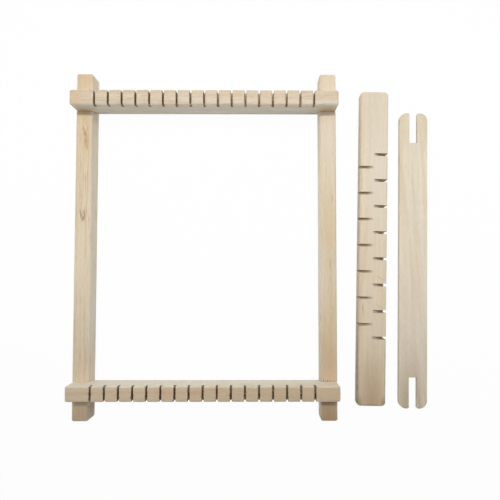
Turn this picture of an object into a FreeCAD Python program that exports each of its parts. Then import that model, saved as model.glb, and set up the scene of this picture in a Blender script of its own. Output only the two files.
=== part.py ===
"""Small wooden frame loom for hand weaving, with its loose heddle bar and its loose shuttle.

The set lies on a table top, the plane z = 0. Z points up, away from the table, and Y runs up the
loom, from its lower bar to its upper bar. The origin is on the table, midway along the set's
whole width and length. Lengths are in millimetres.

The loom is two uprights with two notched bars let into dadoes in their front faces. A wood screw
at each corner is driven from behind, through the upright, into the bar. To the right of the loom
lie the heddle bar, with notches in turn along its two long edges, and the flat shuttle, with a
yarn slot in each end.
"""
import FreeCAD
import Part
import os

# Loom frame
loom_width = 196.0
upright_length = 260.0
upright_width = 12.3
upright_thickness = 15.5
upright_overhang = 17.5
bar_height = 11.3
bar_depth = 21.5
dado_depth = 8.0
dado_clearance = 0.05
upright_edge_radius = 1.6
bar_edge_radius = 1.6

# Warp slots across the front of each bar, sawn deeper towards the loom's ends
warp_slot_count = 17
warp_slot_pitch = 10.0
warp_slot_width = 1.3
warp_slot_inner_depth = 4.2
warp_slot_outer_depth = 7.2
warp_slot_edge_radius = 0.7

# Countersunk wood screws
screw_length = 20.0
screw_radius = 1.5
screw_head_radius = 3.0
screw_head_lip = 0.3
screw_head_sink = 0.3
screw_point_length = 4.0
screw_point_radius = 0.2
screw_hole_clearance = 0.05
driver_cross_span = 3.2
driver_cross_width = 0.9
driver_cross_depth = 1.2

# Heddle bar
heddle_length = 240.5
heddle_width = 21.8
heddle_thickness = 9.0
heddle_corner_radius = 3.2
heddle_edge_radius = 2.0
heddle_notch_pitch = 20.0
heddle_notch_width = 2.2
heddle_notch_offset = 1.0
heddle_right_notch_count = 8
heddle_right_notch_floor = 0.0
heddle_left_notch_floor = 3.8

# Shuttle
shuttle_length = 228.5
shuttle_width = 22.0
shuttle_thickness = 4.0
shuttle_corner_radius = 6.0
shuttle_slot_width = 6.0
shuttle_slot_length = 23.5
shuttle_tip_radius = 1.2
shuttle_edge_radius = 0.8

# How the loose pieces lie beside the loom
heddle_gap = 17.85
heddle_drop = 0.8
heddle_lean = 1.2
shuttle_gap = 10.3
shuttle_lean = 0.85
shuttle_drop = 9.9

# Sizes that follow from the ones above
upright_x = (loom_width - upright_width) / 2
bar_y = upright_length / 2 - upright_overhang - bar_height / 2
dado_floor_z = upright_thickness - dado_depth
bar_front_z = dado_floor_z + bar_depth
heddle_x = loom_width / 2 + heddle_gap + heddle_width / 2
shuttle_x = heddle_x + heddle_width / 2 + shuttle_gap + shuttle_width / 2

UP = FreeCAD.Vector(0, 0, 1)
PAST_FACE = 1.0
TOLERANCE = 0.001


def centred_box(size_x, size_y, size_z, centre_x, centre_y, low_z):
    corner = FreeCAD.Vector(centre_x - size_x / 2, centre_y - size_y / 2, low_z)
    return Part.makeBox(size_x, size_y, size_z, corner)


def rounded_box(size_x, size_y, size_z, centre_x, centre_y, low_z, radius):
    block = centred_box(size_x, size_y, size_z, centre_x, centre_y, low_z)
    return block.makeFillet(radius, block.Edges)


def screw_places():
    """The four corners: a name and a signed x and y for each."""
    corners = []
    for row, side_y in (("top", 1), ("bottom", -1)):
        for column, side_x in (("left", -1), ("right", 1)):
            corners.append((row + "_" + column, side_x * upright_x, side_y * bar_y))
    return corners


def screw_body(clearance):
    """A countersunk screw's outside, or its hole when given a clearance, head down on z = 0."""
    head_radius = screw_head_radius + clearance
    shank_radius = screw_radius + clearance
    cone_height = screw_head_radius - screw_radius
    shank_start = screw_head_sink + screw_head_lip + cone_height
    point_start = screw_head_sink + screw_length - screw_point_length
    lip = Part.makeCylinder(head_radius, screw_head_lip, FreeCAD.Vector(0, 0, screw_head_sink), UP)
    cone_base = FreeCAD.Vector(0, 0, screw_head_sink + screw_head_lip)
    cone = Part.makeCone(head_radius, shank_radius, cone_height, cone_base, UP)
    shank_base = FreeCAD.Vector(0, 0, shank_start)
    shank = Part.makeCylinder(shank_radius, point_start - shank_start, shank_base, UP)
    point_base = FreeCAD.Vector(0, 0, point_start)
    point_radius = screw_point_radius + clearance
    point_length = screw_point_length + clearance
    point = Part.makeCone(shank_radius, point_radius, point_length, point_base, UP)
    return lip.fuse([cone, shank, point]).removeSplitter()


def screw_hole(x, y):
    """The room for one screw, open at the back of the upright."""
    mouth_radius = screw_head_radius + screw_hole_clearance
    mouth_base = FreeCAD.Vector(0, 0, -PAST_FACE)
    mouth = Part.makeCylinder(mouth_radius, PAST_FACE + screw_head_sink, mouth_base, UP)
    hole = mouth.fuse(screw_body(screw_hole_clearance))
    hole.translate(FreeCAD.Vector(x, y, 0))
    return hole


def make_screw(x, y):
    driver_height = PAST_FACE + driver_cross_depth
    driver_z = screw_head_sink - PAST_FACE
    slot = centred_box(driver_cross_span, driver_cross_width, driver_height, 0, 0, driver_z)
    cross_slot = centred_box(driver_cross_width, driver_cross_span, driver_height, 0, 0, driver_z)
    screw = screw_body(0).cut(slot.fuse(cross_slot))
    screw.translate(FreeCAD.Vector(x, y, 0))
    return screw


def make_upright(side):
    """One upright, from the back face on the table to the front face that carries the bars."""
    x = side * upright_x
    upright = rounded_box(upright_width, upright_length, upright_thickness, x, 0, 0, upright_edge_radius)
    dado_width = bar_height + 2 * dado_clearance
    dado_reach = upright_width + 2 * PAST_FACE
    dado_height = dado_depth + PAST_FACE
    cutters = []
    for side_y in (1, -1):
        y = side_y * bar_y
        cutters.append(centred_box(dado_reach, dado_width, dado_height, x, y, dado_floor_z))
        cutters.append(screw_hole(x, y))
    return upright.cut(cutters)


def make_slot(side, x, y):
    """One saw cut across a bar's front face, with a floor that falls evenly towards the loom's end."""
    slope = (warp_slot_outer_depth - warp_slot_inner_depth) / bar_height
    inner_y = y - side * (bar_height / 2 + PAST_FACE)
    outer_y = y + side * (bar_height / 2 + PAST_FACE)
    inner_z = bar_front_z - warp_slot_inner_depth + slope * PAST_FACE
    outer_z = bar_front_z - warp_slot_outer_depth - slope * PAST_FACE
    low_x = x - warp_slot_width / 2
    corners = [
        FreeCAD.Vector(low_x, inner_y, inner_z),
        FreeCAD.Vector(low_x, outer_y, outer_z),
        FreeCAD.Vector(low_x, outer_y, bar_front_z + PAST_FACE),
        FreeCAD.Vector(low_x, inner_y, bar_front_z + PAST_FACE),
    ]
    outline = Part.makePolygon(corners + [corners[0]])
    return Part.Face(outline).extrude(FreeCAD.Vector(warp_slot_width, 0, 0))


def is_slot_mouth(edge, slot_xs):
    """True for the edges where a slot's walls meet the bar's outside, from floor to floor."""
    box = edge.BoundBox
    flat_in_x = box.XLength < TOLERANCE
    highest_floor_z = bar_front_z - warp_slot_inner_depth
    if not flat_in_x or box.ZMax < highest_floor_z + TOLERANCE:
        return False
    for slot_x in slot_xs:
        if abs(abs(box.XMin - slot_x) - warp_slot_width / 2) < TOLERANCE:
            return True
    return False


def make_bar(side):
    """One bar, with the warp slots sawn straight across its front face."""
    y = side * bar_y
    bar = rounded_box(loom_width, bar_height, bar_depth, 0, y, dado_floor_z, bar_edge_radius)
    first_x = -warp_slot_pitch * (warp_slot_count - 1) / 2
    slot_xs = [first_x + warp_slot_pitch * i for i in range(warp_slot_count)]
    bar = bar.cut([make_slot(side, x, y) for x in slot_xs])
    mouths = [edge for edge in bar.Edges if is_slot_mouth(edge, slot_xs)]
    bar = bar.makeFillet(warp_slot_edge_radius, mouths)
    holes = [screw_hole(side_x * upright_x, y) for side_x in (-1, 1)]
    return bar.cut(holes)


def make_notch(side, y, floor_z):
    """A saw cut that starts at the bar's centre line and deepens evenly to its floor at the edge."""
    reach = heddle_width / 2
    slope = (heddle_thickness - floor_z) / reach
    outer = side * (reach + PAST_FACE)
    top = heddle_thickness + PAST_FACE
    low_y = y - heddle_notch_width / 2
    corners = [
        FreeCAD.Vector(0, low_y, heddle_thickness),
        FreeCAD.Vector(outer, low_y, heddle_thickness - slope * (reach + PAST_FACE)),
        FreeCAD.Vector(outer, low_y, top),
        FreeCAD.Vector(0, low_y, top),
    ]
    outline = Part.makePolygon(corners + [corners[0]])
    return Part.Face(outline).extrude(FreeCAD.Vector(0, heddle_notch_width, 0))


def make_heddle():
    """The heddle bar, centred on the origin with its length along Y."""
    heddle = centred_box(heddle_width, heddle_length, heddle_thickness, 0, 0, 0)
    corners = [edge for edge in heddle.Edges if edge.BoundBox.ZLength > TOLERANCE]
    heddle = heddle.makeFillet(heddle_corner_radius, corners)
    rims = [edge for edge in heddle.Edges if edge.BoundBox.ZLength < TOLERANCE]
    heddle = heddle.makeFillet(heddle_edge_radius, rims)
    first_y = heddle_notch_offset + heddle_notch_pitch * (heddle_right_notch_count - 1) / 2
    cutters = []
    for i in range(heddle_right_notch_count):
        y = first_y - heddle_notch_pitch * i
        cutters.append(make_notch(1, y, heddle_right_notch_floor))
    for i in range(heddle_right_notch_count - 1):
        y = first_y - heddle_notch_pitch * (i + 0.5)
        cutters.append(make_notch(-1, y, heddle_left_notch_floor))
    return heddle.cut(cutters)


def is_prong_tip(edge):
    """True for the corners where a slot's walls meet the shuttle's end."""
    box = edge.BoundBox
    is_corner = box.ZLength > TOLERANCE and box.XLength < TOLERANCE
    on_slot_wall = abs(abs(box.XMin) - shuttle_slot_width / 2) < TOLERANCE
    at_end = abs(abs(box.YMin) - shuttle_length / 2) < TOLERANCE
    return is_corner and on_slot_wall and at_end


def make_shuttle():
    """The shuttle, centred on the origin with its length along Y."""
    shuttle = centred_box(shuttle_width, shuttle_length, shuttle_thickness, 0, 0, 0)
    corners = [edge for edge in shuttle.Edges if edge.BoundBox.ZLength > TOLERANCE]
    shuttle = shuttle.makeFillet(shuttle_corner_radius, corners)
    end_y = shuttle_length / 2
    slot_length = shuttle_slot_length + PAST_FACE
    slot_height = shuttle_thickness + 2 * PAST_FACE
    slots = []
    for side in (1, -1):
        slot_y = side * (end_y - shuttle_slot_length + slot_length / 2)
        slots.append(centred_box(shuttle_slot_width, slot_length, slot_height, 0, slot_y, -PAST_FACE))
    shuttle = shuttle.cut(slots)
    tips = [edge for edge in shuttle.Edges if is_prong_tip(edge)]
    shuttle = shuttle.makeFillet(shuttle_tip_radius, tips)
    rims = [edge for edge in shuttle.Edges if edge.BoundBox.ZLength < TOLERANCE]
    return shuttle.makeFillet(shuttle_edge_radius, rims)


def lay_down(piece, x, y, lean):
    """Turn a piece clockwise by its lean and move its centre to x, y."""
    piece.rotate(FreeCAD.Vector(0, 0, 0), UP, -lean)
    piece.translate(FreeCAD.Vector(x, y, 0))
    return piece


def make_set():
    pieces = {
        "left_upright": make_upright(-1),
        "right_upright": make_upright(1),
        "top_bar": make_bar(1),
        "bottom_bar": make_bar(-1),
    }
    for corner, x, y in screw_places():
        pieces["screw_" + corner] = make_screw(x, y)
    pieces["heddle_bar"] = lay_down(make_heddle(), heddle_x, -heddle_drop, heddle_lean)
    pieces["shuttle"] = lay_down(make_shuttle(), shuttle_x, -shuttle_drop, shuttle_lean)
    return pieces


def centre_on_origin(pieces):
    """Slide the set so that the middle of its width and length is on the origin."""
    boxes = [piece.optimalBoundingBox(False) for piece in pieces.values()]
    middle_x = (min(box.XMin for box in boxes) + max(box.XMax for box in boxes)) / 2
    middle_y = (min(box.YMin for box in boxes) + max(box.YMax for box in boxes)) / 2
    shift = FreeCAD.Vector(-middle_x, -middle_y, 0)
    for piece in pieces.values():
        piece.translate(shift)
    return shift


pieces = make_set()
shift = centre_on_origin(pieces)
os.makedirs("parts", exist_ok=True)
for node, shape in pieces.items():
    shape.exportStep("parts/" + node + ".step")
    box = shape.optimalBoundingBox(False)
    low = (round(box.XMin, 2), round(box.YMin, 2), round(box.ZMin, 2))
    high = (round(box.XMax, 2), round(box.YMax, 2), round(box.ZMax, 2))
    print(node, shape.isValid(), len(shape.Solids), round(shape.Volume), low, high)
print("set shifted by", round(shift.x, 3), round(shift.y, 3))
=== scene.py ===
# %% [markdown]
# # A small frame loom with its heddle bar and shuttle
#
# The real thing is a beginner's loom: two square uprights, two slotted bars let into them and held
# by a screw from the back at each corner, and two loose tools, a notched heddle bar and a flat
# shuttle. Everything but the screws is the same pale hardwood, cut, sanded and left bare. The packed
# CAD model gives every piece its exact shape and place. It could be modelled again here, but then
# two shapes would have to agree, so the CAD pieces stay and this lesson is about what they are made
# of: how six sticks get a grain that runs the right way, shows end grain where a saw crossed it,
# and differs from stick to stick.

import math

import bpy
from mathutils import Euler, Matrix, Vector


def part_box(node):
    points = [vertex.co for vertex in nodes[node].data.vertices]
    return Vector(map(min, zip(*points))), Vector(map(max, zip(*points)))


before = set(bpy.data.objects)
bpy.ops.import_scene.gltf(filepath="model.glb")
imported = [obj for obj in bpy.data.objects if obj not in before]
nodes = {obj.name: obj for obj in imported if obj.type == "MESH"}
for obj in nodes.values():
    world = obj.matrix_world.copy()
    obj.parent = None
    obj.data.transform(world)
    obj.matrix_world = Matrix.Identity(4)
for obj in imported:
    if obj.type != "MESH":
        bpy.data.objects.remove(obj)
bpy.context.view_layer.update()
print("pieces:", ", ".join(sorted(nodes)))

# %% [markdown]
# ## Start with nothing selected
#
# An operator acts on all that is selected, and the loaded pieces still are. One operator clears that
# before anything is added.

# %% Deselect everything
bpy.ops.object.select_all(action="DESELECT")
print("selected:", len(bpy.context.selected_objects))

# %% [markdown]
# ## Two small helpers
#
# Colours are written as sRGB hex, the way a paint chart gives them, and turned to linear light once.
# A material is a graph of nodes, so one helper adds a node with its settings and links: a value that
# is a socket is linked, and anything else is typed into the socket. A socket goes by its name, or by
# its number where names repeat. A Mix node of plain numbers takes them at 2 and 3 and answers at 0,
# and one of colours takes them at 6 and 7 and answers at 2.

# %% Colour and node helpers
def linear(hex_colour):
    """The linear RGBA of an sRGB hex colour."""
    parts = [int(hex_colour[i:i + 2], 16) / 255 for i in (1, 3, 5)]
    parts = [c / 12.92 if c <= 0.04045 else ((c + 0.055) / 1.055) ** 2.4 for c in parts]
    return (*parts, 1.0)


def add_node(tree, kind, links=None, **settings):
    """Adds a node, sets its settings, and fills its sockets by name or number."""
    node = tree.nodes.new(kind)
    for key, value in settings.items():
        setattr(node, key, value)
    for key, value in (links or {}).items():
        if isinstance(value, bpy.types.NodeSocket):
            tree.links.new(value, node.inputs[key])
        else:
            node.inputs[key].default_value = value
    return node


print("pale wood in linear light:", [round(c, 3) for c in linear("#E1D3BC")[:3]])

# %% [markdown]
# ## Sizes that the patterns follow
#
# The saw browned the wood where it went, and a mark lies on the face that shows it, so the patterns
# need some sizes of the real sticks. They could be typed in again, but a size that is written twice
# can come to differ, so half the width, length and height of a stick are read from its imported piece.
# The patterns' sizes are in millimetres, and only the table, the lamps and the camera are in metres.

# %% Half sizes in millimetres
def half_size(node_name):
    """Half the size of a piece's box along each axis, in mm."""
    low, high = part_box(node_name)
    return (high - low) * 500


upright_face = half_size("left_upright").z
bar_face = half_size("top_bar").z
bar_half = half_size("top_bar").y
heddle_face = half_size("heddle_bar").z
shuttle_face = half_size("shuttle").z
for stick in ("left_upright", "top_bar"):
    print(stick, "in mm:", [round(2 * half, 1) for half in half_size(stick)])

# %% [markdown]
# ## Where the grain runs
#
# Wood is a solid pattern, not a wrapper: a tree's rings and fibres go right through the stick. So the
# pattern is read from Object coordinates, in millimetres about the piece's own centre, with Y turned
# to run along the stick. The bars are turned a quarter, and the two loose tools by their small lean.
# An image wrapped round the stick would be simpler, but its end would show the wrong side of the wood.

# %% Grain coordinates
def grain_coordinates(tree, node_name, turn_degrees):
    """Position and surface direction of a stick, in mm about its centre, with Y along it."""
    low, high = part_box(node_name)
    turn = Euler((0, 0, math.radians(turn_degrees)))
    centre = turn.to_matrix() @ ((low + high) * 500)
    place = add_node(tree, "ShaderNodeTexCoord")
    grain = add_node(tree, "ShaderNodeMapping", {
        "Vector": place.outputs["Object"],
        "Location": -centre,
        "Rotation": turn,
        "Scale": (1000, 1000, 1000),
    }).outputs["Vector"]
    facing = add_node(tree, "ShaderNodeVectorRotate", {
        "Vector": place.outputs["Normal"], "Rotation": turn,
    }, rotation_type="EULER_XYZ").outputs["Vector"]
    return grain, facing


# %% [markdown]
# ## The slow drift of the grain
#
# No tree grows dead straight. Each line of the wood could be given a wobble of its own, but then
# fibres would cross. So before any pattern is drawn, the coordinates are pushed sideways by a broad,
# smooth noise, by a millimetre or so over several centimetres, and every line drawn later wanders in
# the same way, as fibres do beside each other.

# %% Drift
bend_across = 0.055         # bends per millimetre
bend_along = 0.011


def drifting(tree, grain, seed, sideways):
    """The grain coordinates pushed sideways by up to the given millimetres."""
    noise = add_node(tree, "ShaderNodeTexNoise", {
        "Vector": add_node(tree, "ShaderNodeVectorMath", {
            0: grain,
            1: (bend_across, bend_along, bend_across),
            2: (seed, seed * 0.7, seed * 1.3),
        }, operation="MULTIPLY_ADD").outputs[0],
        "Scale": 1.0, "Detail": 2.0,
    })
    centred = add_node(tree, "ShaderNodeVectorMath", {
        0: noise.outputs["Color"], 1: (0.5, 0.5, 0.5)}, operation="SUBTRACT")
    return add_node(tree, "ShaderNodeVectorMath", {
        0: centred.outputs[0], 1: (sideways * 4, 0.0, sideways * 4), 2: grain,
    }, operation="MULTIPLY_ADD").outputs[0]


print("one bend in", round(1 / bend_along), "mm of stick")

# %% [markdown]
# ## Marks that a branch leaves
#
# A pin knot, a scar or a patch of darker heartwood is a soft-edged lozenge in the wood, long along
# the grain. It could be painted on the face, but then it would stop at the stick's edge. One helper
# gives each lozenge its place, its lean and its size, and says how near a point is to its middle.
# The same nearness can stain the wood, or push the growth rings aside, which is what makes them
# close round a knot in a pointed eye.

# %% Nearness to a mark
def nearness(tree, grain, place, size, lean=0.0):
    """1 at the middle of a lozenge in the wood and 0 outside it; place and half size in mm."""
    inside = add_node(tree, "ShaderNodeMapping", {
        "Vector": grain,
        "Location": place,
        "Rotation": (0, 0, math.radians(lean)),
        "Scale": size,
    }, vector_type="TEXTURE")
    reach = add_node(tree, "ShaderNodeVectorMath", {0: inside.outputs[0]}, operation="LENGTH")
    return add_node(tree, "ShaderNodeMapRange", {
        "Value": reach.outputs["Value"], "From Min": 1.0, "From Max": 0.0,
    }, interpolation_type="SMOOTHSTEP").outputs[0]


# %% [markdown]
# ## Growth rings
#
# A ring is all the wood at one distance from the pith, the middle of the tree. The pith lies some
# centimetres outside such a thin stick, and the stick isn't quite in line with it, so the rings
# run out of the face in long shallow curves. A tree has good and poor years, so the tone of a ring
# is a noise of that distance alone, which gives bands of uneven width where a plain wave would give
# a comb. Rings are about 2 mm apart in this wood.

# %% Rings about the pith
ring_width = 2.0


def growth_rings(tree, wood, pith, run_out, knots, seed):
    """A tone from 0 to 1 for each growth ring, bent round the knots."""
    across, up = pith
    about_pith = add_node(tree, "ShaderNodeMapping", {
        "Vector": wood,
        "Location": (-across, 0, -up),
        "Rotation": (math.radians(run_out[0]), 0, math.radians(run_out[1])),
    })
    flat = add_node(tree, "ShaderNodeVectorMath", {
        0: about_pith.outputs[0], 1: (1, 0, 1)}, operation="MULTIPLY")
    distance = add_node(tree, "ShaderNodeVectorMath", {
        0: flat.outputs[0]}, operation="LENGTH").outputs["Value"]
    for place, size, push in knots:
        near = nearness(tree, wood, place, size)
        distance = add_node(tree, "ShaderNodeMath", {
            0: near, 1: push, 2: distance}, operation="MULTIPLY_ADD").outputs[0]
    return add_node(tree, "ShaderNodeTexNoise", {
        "W": add_node(tree, "ShaderNodeMath", {0: distance, 1: seed}, operation="ADD").outputs[0],
        "Scale": 1 / ring_width, "Detail": 2.5, "Roughness": 0.6,
    }, noise_dimensions="1D").outputs["Fac"]


print("rings to a bar:", round(2 * bar_half / ring_width))

# %% [markdown]
# ## Streaks and fibre
#
# Between the rings the wood has streaks a few millimetres wide and several centimetres long, where
# sap ran more or less, and over everything a silky fibre. A wave would draw them all alike, so both
# are noises squeezed across the stick and drawn out along it. The real fibre is about 0.03 mm thick,
# far too fine to show, so it is drawn coarser than it is, 0.45 mm wide.

# %% Lengthwise noise
fibre_size = (0.45, 4.0)


def lengthwise(tree, wood, size, seed, detail):
    """A noise from 0 to 1 whose features have about this width and length, in mm."""
    width, length = size
    squeezed = add_node(tree, "ShaderNodeVectorMath", {
        0: wood, 1: (1 / width, 1 / length, 1 / width), 2: (seed * 3.1, seed, seed * 2.3),
    }, operation="MULTIPLY_ADD")
    return add_node(tree, "ShaderNodeTexNoise", {
        "Vector": squeezed.outputs[0], "Scale": 1.0, "Detail": detail, "Roughness": 0.6,
    }).outputs["Fac"]


print("fibres to a bar:", round(2 * bar_half / fibre_size[0]))

# %% [markdown]
# ## Saw kerfs
#
# The warp slots were sawn across the bars with a thin blade, one every 10 mm and 17 to a bar. Their
# floors slope, from 4.2 mm deep at a bar's inner side to 7.2 mm at its outer side. A blade at speed
# browns the wood that it rubs, tears a few fibres out beside its cut, and leaves dust in the bottom.
# The same brown also paints the shade that falls in the narrow slots, so it is partly saw browning
# and partly painted shade. Every slot could have a brown of its own, but the browning follows the
# slots, so one graph does them all: it works on the distance to the nearest slot, with a noise that
# tears the edge. The brown is weaker at the mouth, and along the cut it changes differently on each
# bar.

# %% Browning and painted shade in the slots
slot_pitch = 10.0
slot_width = 1.3
slot_depths = (4.2, 7.2)    # at the bar's inner and outer side
slot_fall = (slot_depths[1] - slot_depths[0]) / (2 * bar_half)
slot_row = 84.0             # half the length of a row of slots
slot_tear = 4.0             # how far the noise moves the edge of the brown


def kerf_brown_and_shade(tree, grain, torn, outer_side, at_mouth, inner_end, outer_end):
    """How brown the wood is in and beside the slots, browning and painted shade; outer_side is 1 where
    X points outwards.
    """
    split = add_node(tree, "ShaderNodeSeparateXYZ", {0: grain})
    nearest = add_node(tree, "ShaderNodeMath", {
        0: split.outputs["Y"], 1: slot_pitch / 2}, operation="PINGPONG")
    uneven = add_node(tree, "ShaderNodeMath", {
        0: torn, 1: slot_tear, 2: nearest.outputs[0]}, operation="MULTIPLY_ADD")
    edge = (slot_width + slot_tear) / 2
    inside = add_node(tree, "ShaderNodeMapRange", {
        "Value": uneven.outputs[0], "From Min": edge + 0.2, "From Max": edge - 0.15})
    over_floor = add_node(tree, "ShaderNodeMath", {
        0: split.outputs["X"], 1: outer_side * slot_fall, 2: split.outputs["Z"],
    }, operation="MULTIPLY_ADD")
    floor = bar_face - sum(slot_depths) / 2
    above_floor = add_node(tree, "ShaderNodeMapRange", {
        "Value": over_floor.outputs[0], "From Min": floor - 0.35, "From Max": floor - 0.05})
    from_middle = add_node(tree, "ShaderNodeMath", {0: split.outputs["Y"]}, operation="ABSOLUTE")
    in_row = add_node(tree, "ShaderNodeMath", {
        0: from_middle.outputs[0], 1: slot_row}, operation="LESS_THAN")
    below_mouth = add_node(tree, "ShaderNodeMapRange", {
        "Value": split.outputs["Z"], "From Min": bar_face - 0.2, "From Max": bar_face - 2.0,
        "To Min": at_mouth, "To Max": 1.0})
    outwards = add_node(tree, "ShaderNodeMath", {
        0: split.outputs["X"], 1: outer_side}, operation="MULTIPLY")
    along_cut = add_node(tree, "ShaderNodeMapRange", {
        "Value": outwards.outputs[0], "From Min": -bar_half, "From Max": bar_half,
        "To Min": inner_end, "To Max": outer_end})
    brown = inside.outputs[0]
    for part in (above_floor, in_row, below_mouth, along_cut):
        brown = add_node(tree, "ShaderNodeMath", {
            0: brown, 1: part.outputs[0]}, operation="MULTIPLY").outputs[0]
    return brown


print("the slots' floors slope by", round(math.degrees(math.atan(slot_fall)), 1), "degrees")

# %% [markdown]
# ## The notches of the heddle bar
#
# The heddle bar's notches were cut by a coarser blade that ran in at a slant from each long edge, on
# the two edges in turn. Their walls are browned too, most of all halfway in, and the same brown paints
# the shade inside them; again the distance to the nearest notch of that edge says where. A notch
# narrows as it goes in, and so does its brown. The two rows of browning meet a little to the right of
# the bar's middle.

# %% Browning and painted shade in the notches
notch_pitch = 20.0
notch_brown = 1.7           # the width of the brown at the bar's edge
notch_tip = 1.6             # how far right of the bar's middle the two rows meet
notch_row = 76.0            # half the length of a row of notches
notch_tear = 1.0            # how far the noise moves the edge of the brown


def notch_brown_and_shade(tree, grain, torn, side, phase):
    """How brown the notches of one long edge are, browning and painted shade: side is 1 for the right
    and -1 for the left.
    """
    split = add_node(tree, "ShaderNodeSeparateXYZ", {0: grain})
    from_first = add_node(tree, "ShaderNodeMath", {
        0: split.outputs["Y"], 1: phase}, operation="SUBTRACT")
    nearest = add_node(tree, "ShaderNodeMath", {
        0: from_first.outputs[0], 1: notch_pitch / 2}, operation="PINGPONG")
    uneven = add_node(tree, "ShaderNodeMath", {
        0: torn, 1: notch_tear, 2: nearest.outputs[0]}, operation="MULTIPLY_ADD")
    from_tip = add_node(tree, "ShaderNodeMath", {
        0: split.outputs["X"], 1: notch_tip}, operation="SUBTRACT")
    outwards = add_node(tree, "ShaderNodeMath", {
        0: from_tip.outputs[0], 1: side}, operation="MULTIPLY").outputs[0]
    narrowing = add_node(tree, "ShaderNodeMapRange", {
        "Value": outwards, "From Min": 0.0, "From Max": 8.0, "To Min": 0.9, "To Max": 0.0})
    uneven = add_node(tree, "ShaderNodeMath", {
        0: uneven.outputs[0], 1: narrowing.outputs[0]}, operation="ADD")
    edge = (notch_brown + notch_tear) / 2
    inside = add_node(tree, "ShaderNodeMapRange", {
        "Value": uneven.outputs[0], "From Min": edge + 0.25, "From Max": edge - 0.05})
    on_side = add_node(tree, "ShaderNodeMapRange", {
        "Value": outwards, "From Min": 0.0, "From Max": 6.0, "To Max": 0.75})
    near_edge = add_node(tree, "ShaderNodeMapRange", {
        "Value": outwards, "From Min": 5.5, "From Max": 10.5, "To Min": 1.0, "To Max": 0.2})
    from_middle = add_node(tree, "ShaderNodeMath", {0: split.outputs["Y"]}, operation="ABSOLUTE")
    in_row = add_node(tree, "ShaderNodeMath", {
        0: from_middle.outputs[0], 1: notch_row}, operation="LESS_THAN")
    brown = inside.outputs[0]
    for part in (on_side, near_edge, in_row):
        brown = add_node(tree, "ShaderNodeMath", {
            0: brown, 1: part.outputs[0]}, operation="MULTIPLY").outputs[0]
    return brown


print("notches every", notch_pitch / 2, "mm, on the two edges in turn")

# %% [markdown]
# ## The line at a joint
#
# Where a bar enters its dado, glue and sanding dust leave a thin brown line on the upright beside it,
# and the saw tore a few fibres at the dado's edge. The same line is also painted contact shade, where
# the bar meets the upright. It could be a thin strip laid on the wood, but dust and shade have no
# thickness, so like the browning it is found by distance, here from the edge of the dado.

# %% Dust and painted contact shade beside the dadoes
dado_middle = sum(corner.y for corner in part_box("top_bar")) * 500
joint_tear = 1.2             # how far the noise moves the edge of the line


def joint_line(tree, grain, torn, upper, lower):
    """How dark the edges of the upper and lower dadoes are with dust and painted contact shade, gone
    within a millimetre of them.
    """
    split = add_node(tree, "ShaderNodeSeparateXYZ", {0: grain})
    distance = add_node(tree, "ShaderNodeMath", {
        0: split.outputs["Y"]}, operation="ABSOLUTE").outputs[0]
    # from the upright's middle to the dado's middle, and from there to its edge
    for step in (dado_middle, bar_half):
        beyond = add_node(tree, "ShaderNodeMath", {0: distance, 1: step}, operation="SUBTRACT")
        distance = add_node(tree, "ShaderNodeMath", {
            0: beyond.outputs[0]}, operation="ABSOLUTE").outputs[0]
    uneven = add_node(tree, "ShaderNodeMath", {
        0: torn, 1: joint_tear, 2: distance}, operation="MULTIPLY_ADD")
    line = add_node(tree, "ShaderNodeMapRange", {
        "Value": uneven.outputs[0],
        "From Min": joint_tear / 2 + 0.75, "From Max": joint_tear / 2 + 0.05})
    above_floor = add_node(tree, "ShaderNodeMapRange", {
        "Value": split.outputs["Z"], "From Min": -0.6, "From Max": 0.4})
    left_over = add_node(tree, "ShaderNodeMapRange", {
        "Value": split.outputs["Y"], "From Min": -50.0, "From Max": 50.0,
        "To Min": lower, "To Max": upper})
    dust_and_shade = line.outputs[0]
    for part in (above_floor, left_over):
        dust_and_shade = add_node(tree, "ShaderNodeMath", {
            0: dust_and_shade, 1: part.outputs[0]}, operation="MULTIPLY").outputs[0]
    return dust_and_shade


print("dadoes lie", round(dado_middle, 2), "mm from the middle of an upright")

# %% [markdown]
# ## The colour of a board
#
# The wood is poplar: a pale, even, close-grained hardwood that runs from cream to tan, with a little
# pink where it was near the heart, a little grey-green where sap dried in it, and short darker
# flecks. One image of such a board would do for one stick and repeat on the others. Here streaks
# and rings each give half of the tone, a ramp of three colours turns the tone to wood, and the casts
# come over it, so that each stick gets colours of its own.

# %% Cream, tan, pink and grey-green
streak_size = (2.2, 48.0)
bloom_size = (6.0, 45.0)
fleck_size = (0.9, 15.0)


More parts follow.
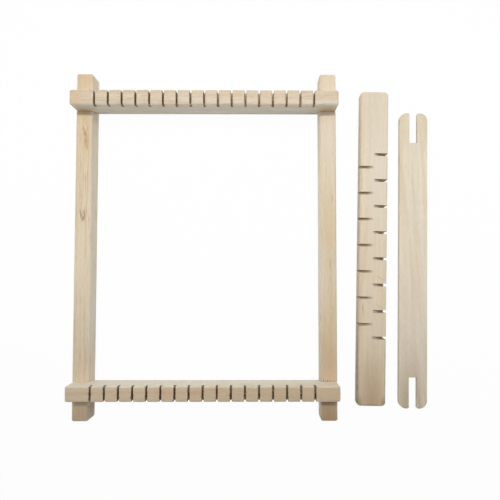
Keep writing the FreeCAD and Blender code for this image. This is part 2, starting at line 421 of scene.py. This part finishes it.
def board_colour(tree, wood, rings, seed, colours, flecking, contrast):
    """The colour of the bare board, before knots, marks and saws."""
    pale, mid, tan, rose = colours
    streaks = lengthwise(tree, wood, streak_size, seed, detail=5.0)
    tone = add_node(tree, "ShaderNodeMix", {"Factor": 0.5, 2: streaks, 3: rings}, data_type="FLOAT")
    stops = add_node(tree, "ShaderNodeValToRGB", {"Fac": tone.outputs[0]})
    ramp = stops.color_ramp
    ramp.elements[0].position = 0.5 - 0.17 / contrast
    ramp.elements[0].color = linear(tan)
    ramp.elements[1].position = 0.5 + 0.15 / contrast
    ramp.elements[1].color = linear(pale)
    middle = ramp.elements.new(0.5)
    middle.color = linear(mid)

    # pink near the heart
    bloom = lengthwise(tree, wood, bloom_size, seed * 1.9, detail=1.0)
    blush = add_node(tree, "ShaderNodeMapRange", {
        "Value": bloom, "From Min": 0.50, "From Max": 0.70, "To Max": 0.55,
    }, interpolation_type="SMOOTHSTEP")
    colour = add_node(tree, "ShaderNodeMix", {
        "Factor": blush.outputs[0], 6: stops.outputs["Color"], 7: linear(rose),
    }, data_type="RGBA").outputs[2]

    # sparse darker flecks
    flecks = lengthwise(tree, wood, fleck_size, seed * 2.7, detail=2.0)
    flecked = add_node(tree, "ShaderNodeMapRange", {
        "Value": flecks, "From Min": 0.56, "From Max": 0.72, "To Max": flecking,
    }, interpolation_type="SMOOTHSTEP")
    colour = add_node(tree, "ShaderNodeMix", {
        "Factor": flecked.outputs[0], 6: colour, 7: linear("#A98A62")}, data_type="RGBA").outputs[2]

    # grey-green where the sap dried
    sap = add_node(tree, "ShaderNodeMapRange", {
        "Value": bloom, "From Min": 0.48, "From Max": 0.30, "To Max": 0.6 * contrast,
    }, interpolation_type="SMOOTHSTEP")
    dried = add_node(tree, "ShaderNodeVectorMath", {
        0: colour, 1: (0.955, 0.985, 1.04)}, operation="MULTIPLY")
    return add_node(tree, "ShaderNodeMix", {
        "Factor": sap.outputs[0], 6: colour, 7: dried.outputs[0]}, data_type="RGBA").outputs[2]


print("streaks, blooms and flecks in mm:", streak_size, bloom_size, fleck_size)

# %% [markdown]
# ## Knots, stains and marks
#
# A knot darkens the rings that bend round it. Stains, scars, browner ends and painted shade are
# lozenges with a colour: a broad one fades softly, and a narrow one follows single fibres, so its
# edge is frayed. They could be painted by hand over an unwrapped stick, but a list says more plainly
# what is where. A knot is three values: its middle, its half size, and how far it pushes the rings.
# A mark is five: its middle, its half size, its lean in degrees, its colour and its strength.

# %% Darkened rings and coloured lozenges
narrow_mark = 4.0           # the half width under which a mark is frayed


def with_knots(tree, wood, colour, late_wood, knots):
    """The colour with the late wood of the rings darkened round each knot."""
    for place, size, _ in knots:
        near = nearness(tree, wood, place, tuple(1.35 * side for side in size))
        strength = add_node(tree, "ShaderNodeMath", {0: near, 1: late_wood}, operation="MULTIPLY")
        strength = add_node(tree, "ShaderNodeMath", {
            0: strength.outputs[0], 1: 0.75}, operation="MULTIPLY")
        colour = add_node(tree, "ShaderNodeMix", {
            "Factor": strength.outputs[0], 6: colour, 7: linear("#A07C52"),
        }, data_type="RGBA").outputs[2]
    return colour


def with_marks(tree, grain, colour, fibre, marks):
    """The colour with each mark laid over it, in the order of the list."""
    frayed = add_node(tree, "ShaderNodeMapRange", {
        "Value": fibre, "From Min": 0.36, "From Max": 0.62, "To Min": 1.15, "To Max": 0.45})
    for place, size, lean, stain, amount in marks:
        near = nearness(tree, grain, place, size, lean)
        if size[0] < narrow_mark:
            near = add_node(tree, "ShaderNodeMath", {
                0: near, 1: frayed.outputs[0]}, operation="MULTIPLY").outputs[0]
        # clamped, so that a strength over 1 only widens the mark's full colour
        strength = add_node(tree, "ShaderNodeMath", {
            0: near, 1: amount}, operation="MULTIPLY", use_clamp=True)
        colour = add_node(tree, "ShaderNodeMix", {
            "Factor": strength.outputs[0], 6: colour, 7: linear(stain),
        }, data_type="RGBA").outputs[2]
    return colour


print("marks that reach less than", narrow_mark, "mm to each side are frayed")

# %% [markdown]
# ## End grain and sides
#
# Where a saw crossed the fibres they are seen end on, and their open ends drink the light, so end
# grain is darker and browner. The narrow sides are made a little greyer, which is painted cool light
# from the walls and the table. Ends and sides could be picked out by hand and get slots of their own,
# but the way that the surface faces says which they are, and it changes softly round an eased edge.

# %% Ends and sides
end_from, end_full = 0.72, 0.97     # how squarely the surface faces along the stick


def with_ends_and_sides(tree, facing, colour, late_wood):
    """The colour made browner on the end grain, and greyer on the sides as painted cool light."""
    split = add_node(tree, "ShaderNodeSeparateXYZ", {0: facing})
    along = add_node(tree, "ShaderNodeMath", {0: split.outputs["Y"]}, operation="ABSOLUTE")
    crossed = add_node(tree, "ShaderNodeMapRange", {
        "Value": along.outputs[0], "From Min": end_from, "From Max": end_full, "To Max": 0.62,
    }, interpolation_type="SMOOTHSTEP")
    thirsty = add_node(tree, "ShaderNodeMix", {
        "Factor": late_wood, 6: linear("#C2A27A"), 7: linear("#A5835B")}, data_type="RGBA")
    colour = add_node(tree, "ShaderNodeMix", {
        "Factor": crossed.outputs[0], 6: colour, 7: thirsty.outputs[2],
    }, data_type="RGBA").outputs[2]

    # painted cool light: faces that don't face up turn greyer
    upwards = add_node(tree, "ShaderNodeMath", {0: split.outputs["Z"]}, operation="ABSOLUTE")
    sideways_share = add_node(tree, "ShaderNodeMapRange", {
        "Value": upwards.outputs[0], "From Min": 0.95, "From Max": 0.40,
    }, interpolation_type="SMOOTHSTEP")
    painted_cool = add_node(tree, "ShaderNodeVectorMath", {
        0: colour, 1: (0.93, 0.99, 1.08)}, operation="MULTIPLY")
    return add_node(tree, "ShaderNodeMix", {
        "Factor": sideways_share.outputs[0], 6: colour, 7: painted_cool.outputs[0],
    }, data_type="RGBA").outputs[2]


print("end grain starts", round(math.degrees(math.acos(end_from))), "degrees off the stick's line")

# %% [markdown]
# ## Sanded poplar
#
# The boards were sawn, planed and sanded but not oiled, so the wood takes no shine: its gloss is wide
# and faint, with an IOR of 1.5, as most wood has, and its fibre can just be felt. The sticks came
# from different boards. One material for all would look cast in one mould, and six written out
# would hide what they share, so one recipe takes what differs: the pith, the knots and marks, the
# colours, and what the saws did.

# %% Sanded poplar
torn_size = (1.4, 3.0)


def sanded_poplar(title, node_name, turn, pith, run_out, seed, colours, knots=(), marks=(),
                  joints=None, kerfs=None, scorch_and_shade="#7B5E3A", notches=(),
                  slant=0.0, flecking=0.2, contrast=1.0):
    """The wood of one stick, from the drift of its grain to its surface.

    turn is how far the stick lies turned, pith how far across and up from it the tree's middle was,
    run_out how far it was out of line with the tree, and slant how far its streaks lean, with the
    angles in degrees. seed makes its noises its own, and contrast makes its grain bolder.
    """
    material = bpy.data.materials.new(title)
    material.use_nodes = True
    tree = material.node_tree
    tree.nodes.clear()
    grain, facing = grain_coordinates(tree, node_name, turn)
    wood = add_node(tree, "ShaderNodeMapping", {
        "Vector": drifting(tree, grain, seed, sideways=1.3),
        "Rotation": (0, 0, math.radians(-slant)),
    }).outputs["Vector"]
    rings = growth_rings(tree, wood, pith, run_out, knots, seed * 7)
    late_wood = add_node(tree, "ShaderNodeMapRange", {
        "Value": rings, "From Min": 0.56, "From Max": 0.38,
    }, interpolation_type="SMOOTHSTEP").outputs[0]
    fibre = lengthwise(tree, wood, fibre_size, seed * 0.6, detail=4.0)

    colour = board_colour(tree, wood, rings, seed, colours, flecking, contrast)
    colour = with_knots(tree, wood, colour, late_wood, knots)
    colour = with_marks(tree, grain, colour, fibre, marks)
    colour = with_ends_and_sides(tree, facing, colour, late_wood)
    silk = add_node(tree, "ShaderNodeMapRange", {
        "Value": fibre, "From Min": 0.3, "From Max": 0.7,
        "To Min": 1.0 - 0.075 * contrast, "To Max": 1.0 + 0.06 * contrast})
    colour = add_node(tree, "ShaderNodeVectorMath", {
        0: colour, "Scale": silk.outputs[0]}, operation="SCALE").outputs[0]

    # what the saws and the glue left, and the shade painted in slots, notches and joints
    browned_and_shaded = []
    if joints:
        # dust and painted contact shade beside the dadoes
        browned_and_shaded.append((joint_line(tree, grain, fibre, **joints), "#6F5333"))
    if kerfs:
        torn = lengthwise(tree, wood, torn_size, seed * 3.3, detail=2.0)
        browned_and_shaded.append((kerf_brown_and_shade(tree, grain, torn, **kerfs), scorch_and_shade))
    for row in notches:
        browned_and_shaded.append((notch_brown_and_shade(tree, grain, fibre, **row), "#85693F"))
    for amount, brown in browned_and_shaded:
        colour = add_node(tree, "ShaderNodeMix", {
            "Factor": amount, 6: colour, 7: linear(brown)}, data_type="RGBA").outputs[2]

    bump = add_node(tree, "ShaderNodeBump", {
        "Height": fibre, "Strength": 0.3, "Distance": 0.00008})
    surface = add_node(tree, "ShaderNodeBsdfPrincipled", {
        "Base Color": colour, "Roughness": 0.6, "IOR": 1.5, "Normal": bump.outputs["Normal"],
    })
    add_node(tree, "ShaderNodeOutputMaterial", {"Surface": surface.outputs["BSDF"]})
    nodes[node_name].data.materials.clear()
    nodes[node_name].data.materials.append(material)
    print(f"{title}: {len(tree.nodes)} nodes, {len(marks)} marks")


print("torn fibres beside a slot in mm:", torn_size)

# %% [markdown]
# ## The left upright
#
# An upright is a stick 12.3 mm wide and 15.5 mm thick with its long edges just eased by sandpaper.
# The left one was cut nearer a branch: two pin knots show on its face, with rings bent round them
# and dark scars beside them. A knot could be one round spot, but a real one is a pale heart between
# two dark flanks, so small lozenges build it up, and broad ones tone the stick from end to end. Its
# brown lower end, its side there, and a dark band just below each bar are painted shade.

# %% Left upright
sanded_poplar(
    "Poplar left upright", "left_upright", turn=0, pith=(-34, -30), run_out=(0.5, 0.9), seed=3.7,
    colours=("#E1CDB1", "#DAC6A7", "#D0B997", "#DABE9E"), flecking=0.55,
    joints={"upper": 0.35, "lower": 0.1},
    knots=(((1.2, 88.0, upright_face), (3.0, 13.0, 7.0), 0.9),
           ((-0.4, 24.0, upright_face), (3.0, 10.0, 7.0), 0.9)),
    marks=(
        # broad tones and the brown top end; painted shade at the lower end and just below each bar
        ((0.0, 95.0, upright_face), (14.0, 75.0, 12.0), 0, "#CDB085", 0.45),
        ((0.0, -20.0, upright_face), (14.0, 52.0, 12.0), 0, "#E2D0B2", 0.50),
        ((-1.0, 99.3, upright_face), (9.0, 1.9, 3.0), 0, "#A5815A", 0.40),
        ((0.0, 128.0, upright_face), (14.0, 22.0, 14.0), 0, "#C4A67D", 0.45),
        ((0.0, -129.0, upright_face), (18.0, 30.0, 20.0), 0, "#B3946E", 0.56),
        ((6.2, -120.0, -1.0), (2.6, 18.0, 16.0), 0, "#85704F", 0.85),
        ((0.0, -114.0, upright_face), (14.0, 3.6, 9.0), 0, "#73583A", 0.85),
        # streaks below the upper knot
        ((1.9, 78.5, upright_face), (2.8, 10.0, 3.0), 1, "#B38C5A", 0.80),
        ((1.4, 78.0, upright_face), (1.0, 7.0, 3.0), 2, "#9A774C", 0.7),
        ((3.0, 75.5, upright_face), (0.9, 5.0, 3.0), -2, "#A58257", 0.6),
        ((3.4, 52.0, upright_face), (0.7, 13.0, 3.0), 1, "#AE8B5F", 0.60),
        ((0.2, 50.0, upright_face), (0.7, 10.0, 3.0), 2, "#B08E63", 0.50),
        ((1.9, 43.0, upright_face), (0.7, 9.0, 3.0), -1, "#B08E63", 0.50),
        ((-2.6, 82.0, upright_face), (1.8, 9.0, 3.0), 2, "#C19C6E", 0.45),
        ((1.3, 93.3, upright_face), (1.6, 4.5, 3.0), 3, "#B99567", 0.60),
        # the upper knot: a pale heart, two flanks and a foot
        ((1.4, 87.4, upright_face), (1.3, 3.2, 3.0), 0, "#E2C1A0", 0.90),
        ((-0.1, 87.3, upright_face), (1.1, 4.2, 3.0), 10, "#A17C53", 0.8),
        ((2.1, 87.1, upright_face), (1.1, 4.2, 3.0), -17, "#A17C53", 0.7),
        ((0.9, 83.6, upright_face), (1.9, 2.8, 3.0), 0, "#A17C53", 0.9),
        ((-2.4, 38.5, upright_face), (1.2, 12.0, 3.0), 0, "#BE9D72", 0.55),
        # the lower knot: a tan patch and three dark flanks
        ((0.4, 22.3, upright_face), (2.1, 6.5, 3.0), 6, "#B08D60", 0.85),
        ((-1.4, 23.3, upright_face), (1.0, 6.6, 3.0), 11.8, "#806340", 1.00),
        ((1.1, 24.3, upright_face), (0.95, 4.6, 3.0), 6.4, "#8C6F4A", 0.85),
        ((0.6, 19.9, upright_face), (1.0, 3.6, 3.0), -18, "#806340", 1.00),
        # two single streaks
        ((-1.8, 60.9, upright_face), (0.6, 7.0, 3.0), 6, "#AD8A5E", 0.55),
        ((-3.4, -40.0, upright_face), (0.7, 7.0, 3.0), 2, "#B08A5E", 0.45),
    ))

# %% [markdown]
# ## The right upright
#
# The same stick from a plainer board: no knots, but it darkens towards its lower end, which is painted
# shade, and the saw left a row of dark specks just above its lower dado. Its inner side is painted
# lighter, as the light falls on it. The darkening could be a ramp along the whole stick, but broad
# lozenges overlap to make it uneven.

# %% Right upright
sanded_poplar(
    "Poplar right upright", "right_upright", turn=0, pith=(26, -36), run_out=(0.4, -0.7), seed=8.2,
    colours=("#DDCAAE", "#D6C3A4", "#CCB693", "#D6BB9B"), flecking=0.3, contrast=0.85,
    joints={"upper": 0.2, "lower": 0.35},
    marks=(
        # painted light on the inner side; painted shade at the lower end and below the bottom bar
        ((0.3, -90.0, upright_face), (9.0, 42.0, 10.0), 0, "#C9986B", 0.50),
        ((-6.15, 20.0, 0.0), (1.4, 130.0, 20.0), 0, "#EFDFC6", 0.60),
        ((0.0, 90.0, upright_face), (14.0, 55.0, 12.0), 0, "#DBCDB9", 0.55),
        ((0.0, 14.0, upright_face), (14.0, 44.0, 12.0), 0, "#CCB48F", 0.50),
        ((0.0, -62.0, upright_face), (14.0, 48.0, 12.0), 0, "#D1B890", 0.50),
        ((1.8, -30.0, upright_face), (2.4, 90.0, 5.0), 0, "#BC9C6C", 0.20),
        ((-4.6, -28.0, upright_face), (2.2, 42.0, 5.0), 0, "#E8DBC6", 0.35),
        ((0.0, -130.0, upright_face), (18.0, 34.0, 22.0), 0, "#A68156", 0.78),
        ((0.0, -114.5, upright_face), (14.0, 5.0, 9.0), 0, "#73583A", 0.75),
        # a pinkish patch and two single streaks
        ((-0.8, 4.0, upright_face), (3.4, 7.0, 4.0), 0, "#DDAE84", 0.45),
        ((3.1, 35.5, upright_face), (0.8, 7.0, 3.0), -4, "#A98458", 0.55),
        ((1.0, -14.0, upright_face), (0.8, 7.0, 3.0), 2, "#A07A50", 0.65),
        # specks just above the lower dado
        ((-4.4, -100.1, upright_face), (0.7, 0.9, 2.0), 0, "#6F5130", 1.3),
        ((-3.1, -100.6, upright_face), (0.6, 0.7, 2.0), 0, "#6F5130", 1.3),
        ((-4.0, -98.7, upright_face), (0.5, 0.7, 2.0), 0, "#7C5C38", 1.2),
        ((-1.2, -100.3, upright_face), (0.7, 0.8, 2.0), 0, "#6F5130", 1.3),
        ((1.0, -100.4, upright_face), (0.8, 0.6, 2.0), 0, "#7C5C38", 1.3),
        ((3.6, -100.4, upright_face), (0.7, 0.6, 2.0), 0, "#7C5C38", 1.3),
    ))

# %% [markdown]
# ## The top bar
#
# A bar is a stick 196 mm long that lies across both uprights, with 17 warp slots. Its material could
# be an upright's own, turned, but it came from a greyer, more striped board. The brown and painted
# shade in its slots fade towards their outer ends, and its lower side is browner where it enters the
# dadoes.

# %% Top bar
sanded_poplar(
    "Poplar top bar", "top_bar", turn=90, pith=(15, -40), run_out=(0.3, 0.6), seed=12.4,
    colours=("#D2C0A6", "#CCB99D", "#C3AD8D", "#CCB294"), flecking=0.6, contrast=1.3,
    kerfs={"outer_side": -1, "at_mouth": 0.35, "inner_end": 1.3, "outer_end": 0.1},
    marks=(
        # the browner left end with its pinkish patch, and the lower side at the two dadoes
        ((0.0, -100.0, bar_face), (14.0, 22.0, 14.0), 0, "#C2A57E", 0.45),
        ((0.9, -92.9, bar_face), (4.0, 4.5, 6.0), 0, "#D3AA84", 0.50),
        ((bar_half, -92.0, -2.0), (3.0, 13.0, 12.0), 0, "#BC8A4C", 0.85),
        ((bar_half, 91.0, -2.0), (3.0, 13.0, 12.0), 0, "#B17C37", 0.95),
    ))

# %% [markdown]
# ## The bottom bar
#
# The bottom bar is the same stick from a warmer board. Its upper side is painted paler and greener,
# as the light falls on it, and its slots are scorched and painted darker. A darker copy of the top
# bar's material would repeat its grain, so it has a seed, a pith and colours of its own.

# %% Bottom bar
sanded_poplar(
    "Poplar bottom bar", "bottom_bar", turn=90, pith=(-22, -32), run_out=(0.3, -0.6), seed=17.9,
    colours=("#DCC5A8", "#D6BE9E", "#CCB18E", "#D6B795"), scorch_and_shade="#64492C",
    kerfs={"outer_side": 1, "at_mouth": 0.75, "inner_end": 0.45, "outer_end": 1.25},
    marks=(
        # the upper side's painted light, the browner right half and two pinkish patches
        ((-bar_half, 0.0, 4.0), (1.3, 500.0, 30.0), 0, "#DAD2B8", 0.62),
        ((0.0, 60.0, bar_face), (16.0, 120.0, 20.0), 0, "#BDA17C", 0.50),
        ((-1.0, -28.0, bar_face), (5.0, 16.0, 6.0), 0, "#C99C7A", 0.4),
        ((-1.0, -5.0, bar_face), (5.0, 7.0, 6.0), 0, "#C99C7A", 0.4),
    ))

# %% [markdown]
# ## The heddle bar
#
# The heddle bar lifts every other warp thread when it is rolled on edge. It is planed thinner than
# the frame and sanded more, round all its edges. It is painted browner at its lower end and along its
# long edges, which is painted shade where the light falls off and round the eased edges. One lozenge
# could brown an edge from end to end, but the shade is stronger towards the lower end, so short and
# long ones overlap.

# %% Heddle bar
sanded_poplar(
    "Poplar heddle bar", "heddle_bar", turn=1.2, pith=(18, -60), run_out=(0.3, 1.2), seed=23.5,
    colours=("#E4D2B7", "#DDCAAD", "#D3BD9B", "#DDC2A3"), flecking=0.1, contrast=0.8,
    notches=({"side": 1, "phase": 11.0}, {"side": -1, "phase": 1.0}),
    marks=(
        # broad tones from end to end, with painted shade at the lower end
        ((0.0, -122.0, heddle_face), (15.0, 60.0, 9.0), 0, "#A88455", 0.62),
        ((3.0, 70.0, heddle_face), (16.0, 110.0, 9.0), 0, "#DDD2C2", 0.55),
        ((0.0, 122.0, heddle_face), (16.0, 60.0, 9.0), 0, "#C9BBA4", 0.45),
        ((0.0, -122.5, heddle_face), (13.0, 5.0, 9.0), 0, "#7A6242", 0.85),
        # painted shade along the long edges and at the lower corners
        ((-11.5, -100.0, heddle_face), (3.0, 70.0, 9.0), 0, "#7A6244", 1.0),
        ((11.3, -100.0, heddle_face), (2.4, 60.0, 9.0), 0, "#7A6244", 0.90),
        ((-10.9, 0.0, heddle_face), (2.2, 240.0, 9.0), 0, "#C6B598", 0.30),
        ((-9.6, -118.0, heddle_face), (4.4, 9.0, 9.0), 0, "#67512F", 0.45),
        ((10.0, -118.0, heddle_face), (4.0, 8.0, 9.0), 0, "#6E583A", 0.60),
        # single streaks, two of them slanting in from notches
        ((-7.2, -47.5, heddle_face), (0.9, 8.0, 3.0), 3, "#A98B60", 0.6),
        ((5.5, -23.5, heddle_face), (0.7, 5.0, 3.0), 60, "#A98B60", 0.55),
        ((5.3, -45.0, heddle_face), (0.7, 5.0, 3.0), 55, "#A98B60", 0.55),
        ((-9.0, 50.0, heddle_face), (0.8, 12.0, 3.0), 0, "#B89C74", 0.6),
    ))

# %% [markdown]
# ## The shuttle
#
# The shuttle carries the yarn through the warp. It is the thinnest and palest stick, a little darker
# towards its ends, with painted shade at its lower end, and it was sawn slightly across the grain, so
# its streaks lean by some degrees.
# Each streak could be a mark with that lean, but it is in the wood, so the whole pattern is slanted.

# %% Shuttle
sanded_poplar(
    "Poplar shuttle", "shuttle", turn=0.85, pith=(-14, -50), run_out=(0.3, 2.2), seed=29.1,
    colours=("#E8DAC4", "#E1D2B9", "#D7C4A6", "#E1CAAF"), slant=5.0, flecking=0.1, contrast=0.9,
    marks=(
        # darker ends, painted shade at the lower one, and one long pale streak
        ((-2.5, -112.0, shuttle_face), (15.0, 62.0, 9.0), 0, "#AC9064", 0.55),
        ((0.0, 112.0, shuttle_face), (16.0, 40.0, 9.0), 0, "#D3C0A2", 0.45),
        ((9.0, 104.0, shuttle_face), (8.0, 30.0, 9.0), 0, "#C9B08A", 0.40),
        ((-3.0, -15.0, shuttle_face), (2.6, 100.0, 9.0), 3.5, "#F1E9DE", 0.40),
        ((0.0, -116.0, shuttle_face), (14.0, 4.0, 9.0), 0, "#8A7250", 0.60),
    ))

# %% [markdown]
# ## The screws
#
# Four wood screws of zinc plated steel. Zinc is a blue-grey metal that is bright but not polished,
# and the plating bath leaves it faintly mottled, a millimetre or two to a patch, with fine turning
# marks. One grey and one roughness would look like plastic, so both vary a little with the mottle,
# and the turning marks are a fine bump.

# %% Zinc plated steel
steel = bpy.data.materials.new("Zinc plated steel")
steel.use_nodes = True
tree = steel.node_tree
tree.nodes.clear()
place = add_node(tree, "ShaderNodeTexCoord")
# 700 to the metre is 1.4 mm to a patch
mottle = add_node(tree, "ShaderNodeTexNoise", {
    "Vector": place.outputs["Object"], "Scale": 700.0, "Detail": 3.0})
bath = add_node(tree, "ShaderNodeMix", {
    "Factor": mottle.outputs["Fac"], 6: linear("#A9AEB4"), 7: linear("#D3D6D8")}, data_type="RGBA")
shine = add_node(tree, "ShaderNodeMapRange", {
    "Value": mottle.outputs["Fac"], "To Min": 0.26, "To Max": 0.46})
# a wave at scale 1 repeats every 0.314 m, so 900 gives turning marks 0.35 mm apart
turned = add_node(tree, "ShaderNodeTexWave", {
    "Vector": place.outputs["Object"], "Scale": 900.0, "Distortion": 0.6,
}, wave_type="BANDS", bands_direction="Z")
ridges = add_node(tree, "ShaderNodeBump", {
    "Height": turned.outputs["Fac"], "Strength": 0.2, "Distance": 0.00004})
metal = add_node(tree, "ShaderNodeBsdfPrincipled", {
    "Base Color": bath.outputs[2], "Metallic": 1.0, "Roughness": shine.outputs[0],
    "Normal": ridges.outputs["Normal"],
})
add_node(tree, "ShaderNodeOutputMaterial", {"Surface": metal.outputs["BSDF"]})
screws = [name for name in nodes if name.startswith("screw")]
for name in screws:
    nodes[name].data.materials.clear()
    nodes[name].data.materials.append(steel)
print("zinc plated:", ", ".join(screws))

# %% [markdown]
# ## What is seen and what gives light
#
# The loom lies on white paper in a white room. Paper and walls lit at the level that suits the wood
# would come out pale grey. More lamps would whiten them and bleach the wood, so they are made to
# look white without giving more light: Light Path tells a ray that sees a surface, straight on or in
# a reflection or through glass, from a ray that only carries light.

# %% Rays that see
seeing = ("Is Camera Ray", "Is Glossy Ray", "Is Transmission Ray")


def seen_rays(tree):
    """1 for a ray that sees a surface and 0 for one that carries light."""
    rays = add_node(tree, "ShaderNodeLightPath")
    seen = rays.outputs[seeing[0]]
    for kind in seeing[1:]:
        seen = add_node(tree, "ShaderNodeMath", {
            0: seen, 1: rays.outputs[kind]}, operation="MAXIMUM").outputs[0]
    return seen


print("rays that see:", ", ".join(seeing))

# %% [markdown]
# ## A white table
#
# The paper is matt and a little off white. It could be left as it is and come out grey, or be a lamp
# itself and light the wood from below. Instead what is seen of it is lifted almost to white, and the
# light that it sends back up to the wood stays that of real paper. A small share of the real paper
# is left in what is seen, so that the loom's shadow stays too.

# %% Table top
lifted = 0.965              # the share of white in what is seen of the paper
bpy.ops.mesh.primitive_plane_add(size=6, location=(0, 0, 0))
table = bpy.context.object
table.name = "table_top"
paper = bpy.data.materials.new("White paper")
paper.use_nodes = True
tree = paper.node_tree
tree.nodes.clear()
share = add_node(tree, "ShaderNodeMath", {0: seen_rays(tree), 1: lifted}, operation="MULTIPLY")
matt = add_node(tree, "ShaderNodeBsdfDiffuse", {"Color": linear("#EFEFEF")})
glow = add_node(tree, "ShaderNodeEmission", {"Color": (1, 1, 1, 1), "Strength": 1.0})
mixed = add_node(tree, "ShaderNodeMixShader", {
    0: share.outputs[0], 1: matt.outputs[0], 2: glow.outputs[0],
})
add_node(tree, "ShaderNodeOutputMaterial", {"Surface": mixed.outputs[0]})
table.data.materials.append(paper)
print("table:", [round(v, 2) for v in table.dimensions])

# %% [markdown]
# ## Pale studio walls
#
# The room is a white studio: much of its light reaches the low loom from the walls, a little cool,
# and none straight from overhead, where the lamps are. A sky of one brightness would flatten the
# sticks, so the strength of the world falls from the walls to the ceiling. The left wall is the
# brightest.

# %% World
wall_strength = 2.35
left_wall = 1.25            # how many times as bright the left wall is
world = bpy.data.worlds.new("Studio")
bpy.context.scene.world = world
world.use_nodes = True
tree = world.node_tree
tree.nodes.clear()
direction = add_node(tree, "ShaderNodeTexCoord")
towards = add_node(tree, "ShaderNodeSeparateXYZ", {0: direction.outputs["Generated"]})
walls = add_node(tree, "ShaderNodeMapRange", {
    "Value": towards.outputs["Z"], "From Min": 0.5, "From Max": 0.15,
    "To Min": 0.0, "To Max": wall_strength,
})
to_the_left = add_node(tree, "ShaderNodeMapRange", {
    "Value": towards.outputs["X"], "From Min": 0.0, "From Max": -1.0,
    "To Min": 1.0, "To Max": left_wall,
})
walls = add_node(tree, "ShaderNodeMath", {
    0: walls.outputs[0], 1: to_the_left.outputs[0]}, operation="MULTIPLY")
seen = seen_rays(tree)
strength = add_node(tree, "ShaderNodeMix", {
    "Factor": seen, 2: walls.outputs[0], 3: 1.0,
}, data_type="FLOAT")
cast = add_node(tree, "ShaderNodeMix", {
    "Factor": seen, 6: (0.76, 0.87, 1.0, 1), 7: (1, 1, 1, 1),
}, data_type="RGBA")
sky = add_node(tree, "ShaderNodeBackground", {
    "Color": cast.outputs[2], "Strength": strength.outputs[0]})
add_node(tree, "ShaderNodeOutputWorld", {"Surface": sky.outputs[0]})
print("world nodes:", len(tree.nodes))

# %% [markdown]
# ## Lamp and panels
#
# One small lamp stands over the far edge of the table and throws the bars' short, fairly crisp
# shadows towards the near edge. It gives less than half of the light. The rest comes from the walls
# and from two wide soft panels above the far side, which is why the far ends of the sticks are the
# brighter ones. One big panel could do for all, but it would leave no shadows. Together they light a
# face that lies flat to about the colour it is written in.

# %% Lamps
def point_at(lamp, place):
    """Turns a lamp so that it shines towards a place."""
    lamp.rotation_euler = (lamp.location - Vector(place)).to_track_quat("Z", "Y").to_euler()


bpy.ops.object.light_add(type="SPOT", location=(0.0, 0.333, 0.92))
key = bpy.context.object
key.name = "key_lamp"
key.data.energy = 14.6
key.data.spot_size = math.radians(30)
key.data.spot_blend = 1.0
key.data.shadow_soft_size = 0.03
key.scale = (2, 1, 1)
point_at(key, (0, 0.060, 0))

for name, place, aim, watts, depth in (
        ("high_panel", (0, 0.15, 0.60), (0, 0.15, 0), 1.55, 0.30),
        ("far_panel", (0, 0.30, 0.35), (0, 0.10, 0), 0.38, 0.15)):
    bpy.ops.object.light_add(type="AREA", location=place)
    panel = bpy.context.object
    panel.name = name
    panel.data.shape = "RECTANGLE"
    panel.data.size = 0.9
    panel.data.size_y = depth
    panel.data.energy = watts
    point_at(panel, aim)

# %% [markdown]
# ## The camera
#
# The camera looks down on the table from a little over a third of a metre, two degrees off plumb, so
# near sides of the sticks show. From further off, with a longer lens, only their faces would. The
# lens is slightly wide, with a small shift, as on a copy stand.

# %% Camera
bpy.ops.object.camera_add(
    location=(0.00337, -0.02345, 0.36533), rotation=(0.0403, -0.0057, 0.0002))
camera = bpy.context.object
camera.data.lens = 33.80
camera.data.sensor_width = 36
camera.data.shift_x = -0.0240
camera.data.shift_y = 0.0152
camera.data.clip_start = 0.01
bpy.context.scene.camera = camera
print("camera height in mm:", round(camera.location.z * 1000))

# %% [markdown]
# ## The view transform
#
# The view transform is Standard, so that a colour comes out as it was written.

# %% View settings
bpy.context.scene.view_settings.view_transform = "Standard"
